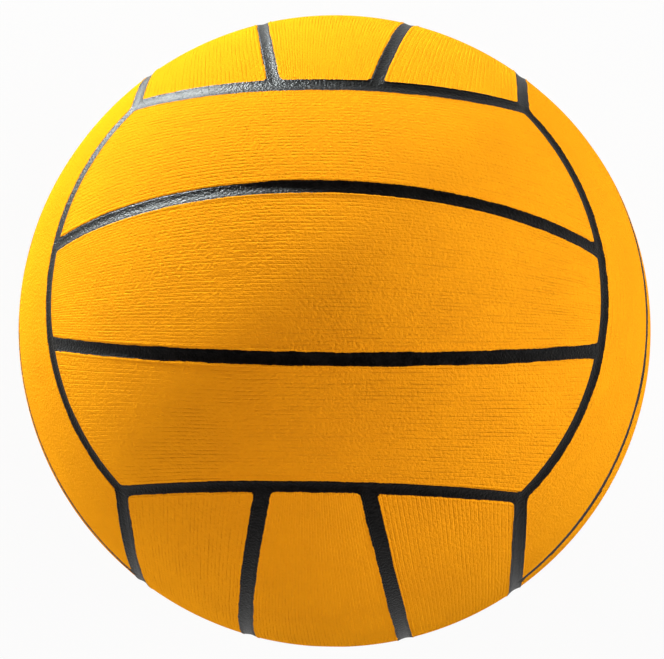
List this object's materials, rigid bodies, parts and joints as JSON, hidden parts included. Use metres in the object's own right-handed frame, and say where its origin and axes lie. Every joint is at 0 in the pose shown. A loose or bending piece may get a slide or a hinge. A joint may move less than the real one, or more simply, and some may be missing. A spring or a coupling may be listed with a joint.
{
  "type": "water polo ball",
  "caption": "Water polo ball with a panelled textured rubber cover, black channels between the panels, a wound bladder and a replaceable needle valve core.",
  "frame": {"origin": "centre of the ball", "axes": "-Y along the valve's axis, out of the needle hole; +Z through the middle panel of the top face, whose strips run along X"},
  "size_m": [0.216, 0.2159, 0.216],
  "materials": {
    "cover_rubber": "satin",
    "channel_rubber": "satin",
    "winding_yarn": "matte",
    "bladder_butyl": "matte",
    "valve_housing_rubber": "matte",
    "valve_core_rubber": "matte"
  },
  "bodies": {
    "ball": {"top_middle_panel": "cover_rubber", "top_front_panel": "cover_rubber", "top_back_panel": "cover_rubber", "bottom_middle_panel": "cover_rubber", "bottom_front_panel": "cover_rubber", "bottom_back_panel": "cover_rubber", "front_middle_panel": "cover_rubber", "front_left_panel": "cover_rubber", "front_right_panel": "cover_rubber", "back_middle_panel": "cover_rubber", "back_left_panel": "cover_rubber", "back_right_panel": "cover_rubber", "left_middle_panel": "cover_rubber", "left_upper_panel": "cover_rubber", "left_lower_panel": "cover_rubber", "right_middle_panel": "cover_rubber", "right_upper_panel": "cover_rubber", "right_lower_panel": "cover_rubber", "carcass": "channel_rubber", "thread_winding": "winding_yarn", "bladder": "bladder_butyl", "valve_housing": "valve_housing_rubber"},
    "valve_core": {"valve_core": "valve_core_rubber"}
  },
  "joints": [
    {"name": "valve_core_pull", "type": "slide", "parent": "ball", "child": "valve_core", "axis": [0, -1, 0], "range_m": [0, 0.03]}
  ]
}
